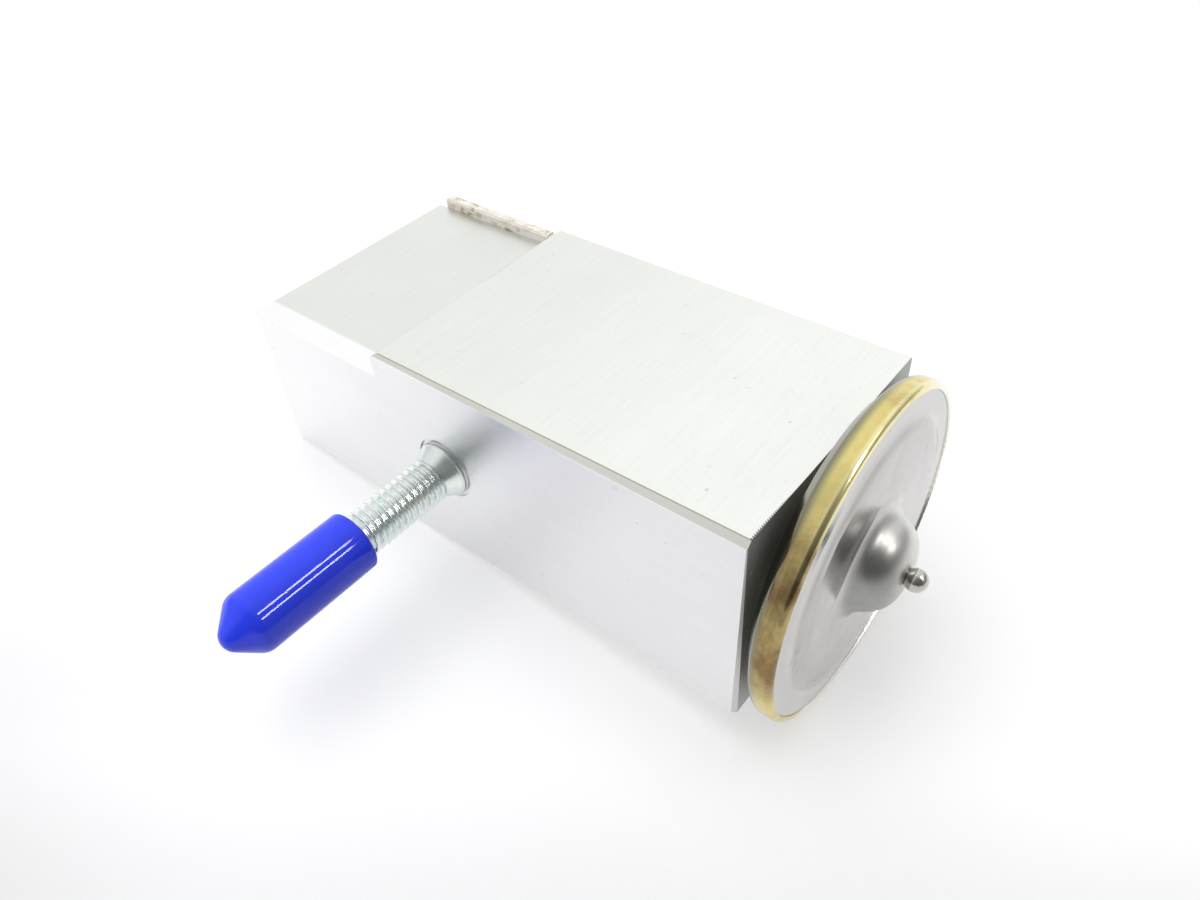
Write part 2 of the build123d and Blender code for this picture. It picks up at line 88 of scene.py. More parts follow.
# Direction, angles in degrees within which it is full and beyond which it is gone, and level.
bright_sides = [((-0.50, 0.60, 0.62), 34, 75, 1.08), ((-0.49, -0.68, 0.55), 18, 42, 0.86)]
open_side = ((0.60, -0.75, 0.25), 34, 62, 0.40)
tube_angles = {"tube_high": 33, "tube_low": 53}  # degrees from straight up, towards +X
tube_distance = 0.60
tube_y = 0.11
tube_size = (0.11, 0.055)
tube_power = 0.38

# ---- the floor: its own glow, and the ways that run down and right in the picture ----
floor_size = 4.0
floor_glow = 0.38
picture_down = (0.606, -0.795)
picture_right = (0.795, 0.606)


# ---------------------------------------------------------------- materials


class Tree:
    """A material's nodes, with one short call for each kind that is used."""

    def __init__(self, name):
        self.material = bpy.data.materials.new(name)
        self.material.use_nodes = True
        self.nodes = self.material.node_tree.nodes
        self.links = self.material.node_tree.links
        self.shader = self.nodes["Principled BSDF"]
        self.place = self.nodes.new("ShaderNodeTexCoord")

    def link(self, source, target):
        self.links.new(source, target)
        return target

    def set(self, **values):
        """Plain numbers and colours on the shader's own sockets."""
        for name, value in values.items():
            self.shader.inputs[name.replace("_", " ")].default_value = value

    def scaled(self, scale):
        """Object coordinates times scale, so that a texture's size is given in millimetres."""
        mapping = self.nodes.new("ShaderNodeMapping")
        mapping.inputs["Scale"].default_value = [1000 * factor for factor in scale]
        self.link(self.place.outputs["Object"], mapping.inputs["Vector"])
        return mapping.outputs["Vector"]

    def noise(self, scale, detail=3.0, roughness=0.55):
        """Noise whose cells are about 1 / scale millimetres along each direction."""
        node = self.nodes.new("ShaderNodeTexNoise")
        node.inputs["Scale"].default_value = 1.0
        node.inputs["Detail"].default_value = detail
        node.inputs["Roughness"].default_value = roughness
        self.link(self.scaled(scale), node.inputs["Vector"])
        return node.outputs["Fac"]

    def ramp(self, value, stops):
        """A colour ramp: stops are (position, colour or grey)."""
        node = self.nodes.new("ShaderNodeValToRGB")
        elements = node.color_ramp.elements
        while len(elements) < len(stops):
            elements.new(0.5)
        for element, (position, colour) in zip(elements, stops):
            element.position = position
            grey = not hasattr(colour, "__len__")
            element.color = (colour,) * 3 + (1,) if grey else tuple(colour) + (1,)
        self.link(value, node.inputs["Fac"])
        return node.outputs["Color"]

    def math(self, operation, a, b=0.0, clamp=False):
        """A sum on two values, each a number or another node's output."""
        node = self.nodes.new("ShaderNodeMath")
        node.operation = operation
        node.use_clamp = clamp
        for socket, value in zip(node.inputs, (a, b)):
            if hasattr(value, "links"):
                self.link(value, socket)
            else:
                socket.default_value = value
        return node.outputs["Value"]

    def mix(self, factor, a, b):
        """Colour a where factor is 0, b where it is 1."""
        node = self.nodes.new("ShaderNodeMix")
        node.data_type = "RGBA"
        sockets = [node.inputs[0], node.inputs[6], node.inputs[7]]
        for socket, value in zip(sockets, (factor, a, b)):
            if hasattr(value, "links"):
                self.link(value, socket)
            elif socket.type == "RGBA":
                socket.default_value = tuple(value) + (1,)
            else:
                socket.default_value = value
        return node.outputs[2]

    def mix_shader(self, factor, a, b):
        """Shader a where factor is 0, b where it is 1."""
        node = self.nodes.new("ShaderNodeMixShader")
        for socket, value in zip(node.inputs, (factor, a, b)):
            self.link(value, socket)
        return node.outputs[0]

    def position(self):
        """X, Y and Z of the shaded point in metres, in the row's frame."""
        node = self.nodes.new("ShaderNodeSeparateXYZ")
        self.link(self.place.outputs["Object"], node.inputs["Vector"])
        return node.outputs

    def normal(self):
        """X, Y and Z of the surface's direction."""
        node = self.nodes.new("ShaderNodeSeparateXYZ")
        self.link(self.place.outputs["Normal"], node.inputs["Vector"])
        return node.outputs

    def radius(self):
        """Distance from the valve axis."""
        y, z = self.position()[1:3]
        up = self.math("SUBTRACT", z, axis_z)
        squares = [self.math("MULTIPLY", part, part) for part in (y, up)]
        return self.math("SQRT", self.math("ADD", *squares))

    def spot(self, centre, size):
        """1 inside a small round mark, 0 outside; centre and size in millimetres."""
        node = self.nodes.new("ShaderNodeVectorMath")
        node.operation = "DISTANCE"
        self.link(self.place.outputs["Object"], node.inputs[0])
        node.inputs[1].default_value = Vector(centre) * MM
        return self.span(node.outputs["Value"], size * MM, size * 0.6 * MM)

    def times(self, a, b):
        """Two colours multiplied."""
        colour = self.mix(1.0, a, b)
        colour.node.blend_type = "MULTIPLY"
        return colour

    def span(self, value, start, end):
        """0 below start, 1 above end, smooth between."""
        node = self.nodes.new("ShaderNodeMapRange")
        node.interpolation_type = "SMOOTHSTEP"
        node.inputs["From Min"].default_value = start
        node.inputs["From Max"].default_value = end
        self.link(value, node.inputs["Value"])
        return node.outputs["Result"]

    def both(self, a, b):
        """1 where both masks are 1."""
        return self.math("MULTIPLY", a, b)

    def flip(self, mask):
        """1 where the mask is 0."""
        return self.math("SUBTRACT", 1.0, mask)

    def colour(self, value):
        """Base colour."""
        self.link(value, self.shader.inputs["Base Color"])

    def metal(self, value):
        """How metallic the surface is, where that isn't the same everywhere."""
        self.link(value, self.shader.inputs["Metallic"])

    def rough(self, value, low, high):
        """Roughness from low to high as value goes from 0 to 1."""
        node = self.nodes.new("ShaderNodeMapRange")
        node.inputs["To Min"].default_value = low
        node.inputs["To Max"].default_value = high
        self.link(value, node.inputs["Value"])
        self.link(node.outputs["Result"], self.shader.inputs["Roughness"])

    def bump(self, height, strength, distance):
        """Relief of distance millimetres."""
        node = self.nodes.new("ShaderNodeBump")
        node.inputs["Strength"].default_value = strength
        node.inputs["Distance"].default_value = distance * MM
        self.link(height, node.inputs["Height"])
        self.link(node.outputs["Normal"], self.shader.inputs["Normal"])


def bevel_mask(t, normal):
    """1 on faces that slant between the top and the front."""
    slanted = t.span(t.math("ADD", normal[1], normal[2]), 0.25, 0.1)
    slanted = t.both(slanted, t.span(normal[2], 0.4, 0.6))
    return t.both(slanted, t.span(normal[2], 0.9, 0.8))


def bevel_lines(t, base, place, upward, frontward):
    """A dark line of painted shade along the top of the slanting bevel, a painted highlight below
    it.
    """
    x, y, z = place
    slant = (bevel_width_at_head - bevel_width_at_step) / (head_face_x - step_x)
    leg = t.math("ADD", t.both(t.math("SUBTRACT", x, step_x), slant), bevel_width_at_step)
    past_top_edge = t.math("SUBTRACT", t.math("SUBTRACT", y, front_y), leg)
    below_edge = t.math("SUBTRACT", t.math("SUBTRACT", block_high[2], z), leg)
    faded = bevel_line_width * 0.4
    # Painted shade: the dark line along the bevel's top edge.
    dark = t.both(t.span(past_top_edge, bevel_line_width * 1.1, faded), upward)
    dark = t.both(dark, t.span(z, block_high[2] - 0.1 * MM, block_high[2]))
    base = t.mix(dark, base, (0.34, 0.33, 0.20))
    # Painted highlight: the white line below the edge.
    bright = t.both(t.span(below_edge, bevel_line_width, faded), frontward)
    bright = t.both(bright, t.span(x, step_x - 0.1 * MM, step_x))
    return t.mix(bright, base, (1.0, 1.0, 1.0))


def cutter_notches(t, base, place, upward):
    """Painted shade in notches: a saw-toothed dark edge along the top of the head end, near the
    front.
    """
    x, y, _ = place
    saw = t.math("FRACT", t.math("MULTIPLY", y, 1 / cutter_notch_pitch))
    reach = t.both(saw, t.both(t.span(y, -6 * MM, -16 * MM), cutter_notch_pitch))
    notch = t.math("LESS_THAN", t.math("SUBTRACT", head_face_x, x), reach)
    return t.mix(t.both(notch, upward), base, (0.16, 0.17, 0.16))


def block_marks(t, base):
    """The small dents that the photograph shows, painted as spots of shade, and one burr with a
    painted highlight: centres in millimetres.
    """
    dents = [((36.3, -0.2, 29.7), 0.22), ((34.7, -14.0, 29.7), 0.26), ((27.3, 3.0, 29.7), 0.18)]
    dents += [((28.7, -18.0, 24.5), 0.16), ((32.4, -18.0, 23.8), 0.16), ((8.0, -18.0, 9.0), 0.14)]
    for centre, size in dents:
        base = t.mix(t.both(t.spot(centre, size), 0.35), base, (0.35, 0.35, 0.33))
    return t.mix(t.spot((42.0, -16.9, 24.5), 0.34), base, (0.95, 0.93, 0.86))


def block_aluminium():
    """Machined bar: cutter lines across the top, drawn lines along the sides, a dull sawn end."""
    t = Tree("block_aluminium")
    x, y, z = t.position()[0:3]
    normal = t.normal()
    upward = t.span(normal[2], 0.85, 0.95)
    endward = t.span(normal[0], 0.6, 0.8)
    frontward = t.span(normal[1], -0.85, -0.95)
    across = t.noise((5.0, 0.12, 5.0), detail=4)
    along = t.noise((0.04, 5.0, 5.0), detail=3)
    grain = t.noise((2.4, 2.4, 2.4), detail=4, roughness=0.7)
    lines = t.mix(upward, along, across)
    clouds = t.noise((0.07, 0.07, 0.07), detail=2)

    # Painted light: the top is painted lighter towards the head end.
    top = t.mix(t.span(x, -12 * MM, 36 * MM), (0.84, 0.85, 0.81), (0.93, 0.94, 0.90))
    # Painted highlight: a white strip along the near edge of the tongue floor.
    painted_highlight_strip = t.span(y, -14.5 * MM, -15.0 * MM)
    tongue_floor = t.mix(painted_highlight_strip, (0.82, 0.83, 0.79), (1.0, 1.0, 0.99))
    on_tongue = t.span(x, step_x + 0.4 * MM, step_x)
    top = t.mix(on_tongue, top, tongue_floor)
    # Painted light: the sides are painted lighter towards the tongue end.
    side = t.mix(t.span(x, -36 * MM, 0.0), (0.95, 0.95, 0.95), (0.89, 0.89, 0.895))
    base = t.mix(upward, side, top)
    base = t.mix(endward, base, (0.62, 0.63, 0.62))

    bevel = bevel_mask(t, normal)
    bevel_colour = t.mix(t.span(x, step_x, head_face_x), (0.84, 0.85, 0.77), (0.90, 0.90, 0.83))
    # Painted highlight: the bevel along the tongue is painted white as well.
    bevel_colour = t.mix(on_tongue, bevel_colour, (1.0, 1.0, 0.99))
    base = t.mix(bevel, base, bevel_colour)
    base = bevel_lines(t, base, (x, y, z), upward, frontward)
    base = cutter_notches(t, base, (x, y, z), upward)
    base = block_marks(t, base)

    specks = t.ramp(t.noise((0.8, 0.8, 0.8), detail=1), [(0.765, 1.0), (0.785, 0.92)])
    base = t.times(base, specks)
    for texture, darkest in ((lines, 0.955), (grain, 0.965), (clouds, 0.97)):
        base = t.times(base, t.ramp(texture, [(0.30, darkest), (0.70, 1.0)]))
    t.colour(base)
    dull = t.math("MAXIMUM", t.both(endward, 0.6), t.both(t.both(bevel, on_tongue), 0.8))
    t.metal(t.flip(dull))
    t.rough(t.math("ADD", grain, t.both(endward, 2.0)), 0.33, 0.43)
    t.bump(t.math("ADD", lines, t.both(grain, 0.6)), 0.14, 0.02)
    return t.material


def zinc_steel():
    """Bright zinc plate with a blue-green cast."""
    t = Tree("zinc_steel")
    t.set(Metallic=0.93)
    patches = t.noise((0.45, 0.45, 0.45), detail=2)
    tints = [(0.35, (0.76, 0.84, 0.82)), (0.55, (0.86, 0.90, 0.89)), (0.70, (0.87, 0.88, 0.80))]
    t.colour(t.ramp(patches, tints))
    grain = t.noise((4.0, 4.0, 4.0), detail=3)
    t.rough(grain, 0.18, 0.30)
    t.bump(grain, 0.06, 0.02)
    return t.material


def blue_vinyl():
    """Dipped vinyl: a glossy skin over a clear royal blue, faintly uneven where it ran and set."""
    t = Tree("blue_vinyl")
    t.set(Coat_Weight=0.8, Coat_Roughness=0.04, Specular_IOR_Level=0.0)
    t.set(Subsurface_Weight=0.08, Subsurface_Scale=1 * MM, Subsurface_Radius=(0.3, 0.4, 1.0))
    cloud = t.noise((0.18, 0.10, 0.18), detail=2)
    t.colour(t.ramp(cloud, [(0.3, (0.018, 0.044, 0.80)), (0.7, (0.025, 0.054, 0.88))]))
    runs = t.noise((0.35, 0.10, 0.35), detail=1)
    t.rough(runs, 0.10, 0.16)
    t.bump(runs, 0.06, 0.10)
    return t.material


def gold_zinc_steel():
    """Yellow passivated zinc, browned round one part of the rim, partly by tarnish and partly by a
    painted dark reflection.
    """
    t = Tree("gold_zinc_steel")
    t.set(Metallic=1.0)
    x, y, z = t.position()[0:3]
    cloud = t.noise((0.22, 0.22, 0.22), detail=4, roughness=0.65)
    fine = t.noise((1.6, 1.6, 1.6), detail=3)
    clean = t.mix(fine, (0.66, 0.54, 0.17), (0.78, 0.68, 0.30))
    # Painted shade: the rim's back edge is painted dark olive, to suggest its roundness.
    back_edge_shade = t.span(x, rim_back_x + 0.4 * MM, rim_back_x - 0.3 * MM)
    clean = t.mix(back_edge_shade, clean, (0.44, 0.41, 0.20))
    # Painted highlight: a pale band near the lip on the upper part.
    lip_highlight = t.span(x, rim_lip_x - 0.7 * MM, rim_lip_x - 0.2 * MM)
    lip_highlight = t.both(lip_highlight, t.span(z, 18 * MM, 28 * MM))
    clean = t.mix(lip_highlight, clean, (0.90, 0.80, 0.42))

    brown = t.mix(fine, (0.17, 0.10, 0.045), (0.34, 0.24, 0.11))
    # Partly tarnish, partly a painted reflection of the darker room, on the front side.
    tarnish_and_reflection_zone = t.both(t.span(y, -10 * MM, -15 * MM), t.span(z, 8 * MM, 16 * MM))
    tarnish_and_reflection_zone = t.both(tarnish_and_reflection_zone, t.span(z, 33 * MM, 28 * MM))
    tarnish_and_painted_reflection = t.both(t.ramp(cloud, [(0.38, 0.6), (0.58, 1.0)]), tarnish_and_reflection_zone)
    scattered = t.ramp(cloud, [(0.52, 0.0), (0.70, 0.28)])
    base = t.mix(t.math("MAXIMUM", tarnish_and_painted_reflection, scattered), clean, brown)
    # Painted shade: darker still behind the rim's back, next to the block.
    behind = t.span(x, rim_back_x, rim_back_x - 0.9 * MM)
    base = t.mix(behind, base, (0.20, 0.19, 0.13))

    # The lip is rubbed pale on its far side and underneath.
    far_side = t.span(y, 6 * MM, 14 * MM)
    underside = t.both(t.span(z, 8 * MM, 1 * MM), t.span(y, -16 * MM, -10 * MM))
    rubbed = t.math("MAXIMUM", far_side, underside)
    rubbed = t.both(t.span(x, rim_lip_x - 0.4 * MM, rim_lip_x), rubbed)
    base = t.mix(rubbed, base, (0.88, 0.87, 0.80))
    t.colour(base)
    t.rough(cloud, 0.12, 0.26)
    t.bump(fine, 0.12, 0.03)
    return t.material


def stainless_sheet():
    """Stamped stainless cover: satin, a little pink, with spots, marks and a rough dome."""
    t = Tree("stainless_sheet")
    t.set(Metallic=1.0)
    y, z = t.position()[1:3]
    mottle = t.noise((0.30, 0.30, 0.30), detail=5, roughness=0.7)
    fine = t.noise((3.0, 3.0, 3.0), detail=3)
    radius = t.radius()
    base = t.ramp(mottle, [(0.30, (0.51, 0.49, 0.475)), (0.70, (0.61, 0.59, 0.58))])
    # Painted shade: the sheet is painted darker towards the top.
    base = t.times(base, t.ramp(t.span(z, 10 * MM, 32 * MM), [(0.0, 1.0), (1.0, 0.84)]))

    # Brownish darkening just inside the plateau's edge, on the front half: partly handling marks,
    # partly a painted dark reflection on the step.
    inside = t.both(t.span(radius, 12.2 * MM, 16.0 * MM), t.span(radius, 17.2 * MM, 16.6 * MM))
    inside = t.both(inside, t.span(y, 2 * MM, -8 * MM))
    soiling_and_painted_reflection = t.both(inside, t.ramp(mottle, [(0.38, 0.15), (0.62, 1.0)]))
    base = t.mix(t.both(soiling_and_painted_reflection, 0.7), base, (0.33, 0.30, 0.27))
    outer = t.span(radius, 16.8 * MM, 17.4 * MM)
    base = t.mix(t.both(outer, 0.5), base, (0.64, 0.63, 0.61))
    spots = t.ramp(t.noise((0.55, 0.55, 0.55), detail=2), [(0.66, 0.0), (0.72, 1.0)])
    base = t.mix(t.both(spots, 0.3), base, (0.30, 0.28, 0.26))
    base = t.mix(t.both(t.spot((47.35, -12.6, 29.9), 0.9), 0.6), base, (0.26, 0.26, 0.25))

    # The drawn dome is rougher than the flat sheet, and painted darker towards the front as painted
    # shade.
    drawn = t.span(radius, dome_foot_radius, dome_foot_radius - 1.6 * MM)
    shaded = t.mix(t.span(y, -4.5 * MM, 3.5 * MM), (0.40, 0.395, 0.37), (0.84, 0.83, 0.79))
    base = t.mix(drawn, base, t.times(shaded, t.ramp(mottle, [(0.30, 0.82), (0.70, 1.0)])))
    t.colour(base)
    t.rough(t.math("ADD", t.both(mottle, 0.3), drawn), 0.13, 0.36)
    t.bump(fine, 0.16, 0.03)
    return t.material


def polished_steel():
    """Ball and pin steel, with hairline scratches."""
    t = Tree("polished_steel")
    t.set(Metallic=1.0)
    scratches = t.noise((6.0, 1.5, 6.0), detail=2)
    t.colour(t.ramp(scratches, [(0.35, (0.50, 0.49, 0.46)), (0.65, (0.62, 0.61, 0.57))]))
    t.rough(scratches, 0.10, 0.22)
    t.bump(scratches, 0.05, 0.01)
    return t.material


def turned_brass():
    """Turned brass with tool rings about the valve axis."""
    t = Tree("turned_brass")
    t.set(Metallic=1.0)
    rings = t.noise((8.0, 0.3, 0.3), detail=2)
    cloud = t.noise((0.4, 0.4, 0.4), detail=3)
    t.colour(t.ramp(cloud, [(0.3, (0.60, 0.44, 0.18)), (0.7, (0.76, 0.60, 0.30))]))
    t.rough(rings, 0.18, 0.34)
    t.bump(rings, 0.15, 0.02)
    return t.material


def rod_aluminium():
    """Centreless-ground rod, with fine rings."""
    t = Tree("rod_aluminium")
    t.set(Metallic=1.0)
    rings = t.noise((12.0, 0.4, 0.4), detail=2)
    t.colour(t.ramp(rings, [(0.3, (0.74, 0.75, 0.75)), (0.7, (0.84, 0.85, 0.85))]))
    t.rough(rings, 0.22, 0.36)
    t.bump(rings, 0.10, 0.01)
    return t.material


def spring_steel():
    """Drawn wire with a thin dark oxide."""
    t = Tree("spring_steel")
    t.set(Metallic=1.0)
    cloud = t.noise((1.2, 1.2, 1.2), detail=3)
    t.colour(t.ramp(cloud, [(0.3, (0.22, 0.21, 0.20)), (0.7, (0.40, 0.39, 0.37))]))
    t.rough(cloud, 0.24, 0.42)
    t.bump(cloud, 0.10, 0.01)
    return t.material


def seal_rubber():
    """Dark green moulded rubber."""
    t = Tree("seal_rubber")
    t.set(Specular_IOR_Level=0.35)
    grain = t.noise((5.0, 5.0, 5.0), detail=3)
    t.colour(t.ramp(grain, [(0.3, (0.010, 0.030, 0.018)), (0.7, (0.020, 0.055, 0.034))]))
    t.rough(grain, 0.50, 0.70)
    t.bump(grain, 0.25, 0.02)
    return t.material


def cream_foam():
    """Cut foam, cream with fawn patches and open cells."""
    t = Tree("cream_foam")
    t.set(Specular_IOR_Level=0.2)
    patches = t.noise((0.55, 0.9, 0.9), detail=3, roughness=0.6)
    cells = t.nodes.new("ShaderNodeTexVoronoi")
    cells.inputs["Scale"].default_value = 1.0
    t.link(t.scaled((3.2, 3.2, 3.2)), cells.inputs["Vector"])
    pits = cells.outputs["Distance"]
    tints = [(0.40, (0.84, 0.82, 0.76)), (0.56, (0.78, 0.73, 0.64)), (0.68, (0.46, 0.37, 0.26))]
    base = t.ramp(patches, tints)
    t.colour(t.mix(t.ramp(pits, [(0.10, 0.35), (0.35, 0.0)]), base, (0.50, 0.44, 0.36)))
    t.rough(pits, 0.75, 0.95)
    t.bump(pits, 0.6, 0.12)
    return t.material


# ---------------------------------------------------------------- pieces


def new_object(name, mesh):
    """An object in the scene for a mesh."""
    piece = bpy.data.objects.new(name, mesh)
    bpy.context.scene.collection.objects.link(piece)
    return piece


def smooth_piece(name, build, sharp_degrees):
    """An object from a bmesh, shaded smooth but for edges sharper than the angle given."""
    mesh = bpy.data.meshes.new(name)
    build.to_mesh(mesh)
    build.free()
    mesh.shade_smooth()
    mesh.set_sharp_from_angle(angle=math.radians(sharp_degrees))
    return new_object(name, mesh)


def bridge(build, ring, following):
    """Faces between two rings of as many points."""
    count = len(ring)
    for k in range(count):
        n = (k + 1) % count
        build.faces.new((ring[k], ring[n], following[n], following[k]))


def rounded(corners, arc_steps=10):
    """Points of an outline; corners are (along, radius, rounding) in millimetres."""
    points = []
    in_turn = zip(corners[-1:] + corners[:-1], corners, corners[1:] + corners[:1])
    for before, corner, after in in_turn:
        middle, size = Vector(corner[:2]), corner[2]
        if not size:
            points.append(middle)
            continue
        back = (Vector(before[:2]) - middle).normalized()
        ahead = (Vector(after[:2]) - middle).normalized()
        half = back.angle(ahead) / 2
        centre = middle + (back + ahead).normalized() * size / math.sin(half)
        start = middle + back * size / math.tan(half)
        end = middle + ahead * size / math.tan(half)
        for step in range(arc_steps + 1):
            spoke = (start - centre).lerp(end - centre, step / arc_steps)
            points.append(centre + spoke.normalized() * size)
    return points


def revolved(name, corners, steps_round=288):
    """A turned piece about the valve axis, measured out from the block's end face."""
    outline = rounded(corners)
    build = bmesh.new()
    rings = []
    for step in range(steps_round):
        angle = 2 * math.pi * step / steps_round
        ring = []
        for along, radius in outline:
            out, up = radius * math.cos(angle) * MM, radius * math.sin(angle) * MM
            ring.append(build.verts.new((head_face_x + along * MM, out, axis_z + up)))
        rings.append(ring)
    for ring, following in zip(rings, rings[1:] + rings[:1]):
        bridge(build, ring, following)
    bmesh.ops.recalc_face_normals(build, faces=build.faces)
    return smooth_piece(name, build, 40)


def pressed_cover():
    """The cover as drawn from sheet: a soft step up to the plateau, a flare at the dome's foot."""
    flange, plateau, top, wall = 5.35, 5.87, 10.35, 0.8
    edge_radius, edge_round = 20.26, 0.03
    step_foot, step_head, step_round = 17.75, 16.25, 3.4
    flare_radius, flare_round = 6.509, 2.75
    shoulder_radius, shoulder_round = 4.792, 4.23
    filling_hole = 1.0
    outside = [
        (flange, edge_radius, edge_round),
        (flange, step_foot, step_round),
        (plateau, step_head, step_round),
        (plateau, flare_radius, flare_round),
        (top, shoulder_radius, shoulder_round),
        (top, filling_hole, 0),
    ]
    # The inside runs a wall's thickness in: arcs about the same centres, sloping lines moved in.
    inside = [
        (top - wall, filling_hole, 0),
        (top - wall, 4.242, shoulder_round - wall),
        (plateau - wall, 5.959, flare_round + wall),
        (plateau - wall, 16.67, 0),
        (flange - wall, 17.42, 0),
        (flange - wall, edge_radius, 0),
    ]
    return revolved("head_upper_shell_pressed", outside + inside)


def thread_radius(phase):
    """Radius of a rolled 60 degree thread at phase 0..1 of its pitch: round crest, round root."""
    wave = 0.5 + 0.5 * math.cos(2 * math.pi * phase)
    flattened = min(1.0, max(0.0, 1.25 * wave - 0.10))
    return thread_crest_radius - thread_depth * (1 - flattened)


def stud_radius_at(out, phase):
    """Radius of the stud at a distance out from the block's face: collar, cone, then thread."""
    if out <= collar_thickness:
        return collar_radius
    cone = (out - collar_thickness) / (collar_cone_end - collar_thickness)
    threaded = thread_radius(phase)
    if cone < 1.0:
        neck_end = thread_crest_radius - thread_depth * 0.35
        neck = collar_radius + (neck_end - collar_radius) * (cone**0.8)
        return max(neck, threaded * min(1.0, max(0.0, (cone - 0.5) * 2)))
    return threaded


def threaded_stud():
    """The stud with its rolled collar and real thread: rings of points joined into a tube."""
    out_end = front_y - stud_low[1]
    embedded = stud_high[1] - front_y
    step = thread_pitch / thread_steps_per_pitch
    just_behind = 0.001 * MM
    outs = [-embedded, -embedded + stud_end_chamfer, -collar_sink - just_behind, -collar_sink]
    outs += [-collar_sink + 0.12 * MM, collar_thickness - 0.08 * MM, collar_thickness]
    count = int((out_end - collar_thickness) / step)
    outs += [collar_thickness + step * (index + 1) for index in range(count)]
    outs.append(out_end)
    build = bmesh.new()
    rings = []
    for out in outs:
        ring = []
        for k in range(thread_steps_round):
            turn = k / thread_steps_round
            phase = (out / thread_pitch + turn) % 1.0
            if out < -collar_sink:
                radius = thread_crest_radius - (stud_end_chamfer if out == -embedded else 0)
            elif out <= -collar_sink or out == collar_thickness:
                radius = collar_radius - collar_edge_break
            else:
                radius = stud_radius_at(out, phase)
            tip = out_end - out
            if tip < stud_end_chamfer:
                radius = min(radius, thread_crest_radius - (stud_end_chamfer - tip))
            angle = 2 * math.pi * turn
            x = stud_centre_x + radius * math.cos(angle)
            z = stud_centre_z + radius * math.sin(angle)
            ring.append(build.verts.new((x, front_y - out, z)))
        rings.append(ring)
    for ring, following in zip(rings, rings[1:]):
        bridge(build, ring, following)
    build.faces.new(reversed(rings[0]))
    build.faces.new(rings[-1])
    bmesh.ops.recalc_face_normals(build, faces=build.faces)
    return smooth_piece("mounting_stud_threaded", build, 50)


def foam_strip():
    """The strip with its cut edges softened and a little uneven."""
    low, high = Vector(strip_low), Vector(strip_high)
    size = high - low
    centre = (low + high) / 2
    build = bmesh.new()
    bmesh.ops.create_cube(build, size=1.0)
    bmesh.ops.scale(build, vec=size, verts=build.verts)
    bmesh.ops.translate(build, vec=centre, verts=build.verts)
    edges = list(build.edges)
    bmesh.ops.bevel(build, geom=edges, offset=strip_edge_softening, segments=2, affect="EDGES")
    bmesh.ops.triangulate(build, faces=build.faces)
    bmesh.ops.subdivide_edges(build, edges=build.edges, cuts=7, use_grid_fill=True)
    for vert in build.verts:
        p = vert.co
        ripple = math.sin(p.x * 2900) * math.sin(p.z * 3700 + 1.3)
        ripple += math.sin(p.x * 5300 + p.y * 4100)
        inward = strip_unevenness * (0.5 + 0.25 * ripple)
        pull = Vector((0, 0, 0))
        for k in range(3):
            reach = abs(p[k] - centre[k]) / (size[k] / 2)
            if reach > 0.9:
                pull[k] = -math.copysign(inward, p[k] - centre[k])
        seated = p.y - low.y < 0.05 * MM
        if seated:
            pull.y = 0
        vert.co = p + pull
    return smooth_piece("seal_strip_foam", build, 40)


# ---------------------------------------------------------------- stage


def floor_lean():
    """How far the floor leans about Y, so that the step's lower edge and the rim both touch it."""
    edge = Vector((step_x, 0, block_low[2]))
    steepest = 0.0
    for vert in nodes["head_lower_shell"].data.vertices:
        steepest = max(steepest, math.atan2(edge.z - vert.co.z, vert.co.x - edge.x))
    return steepest


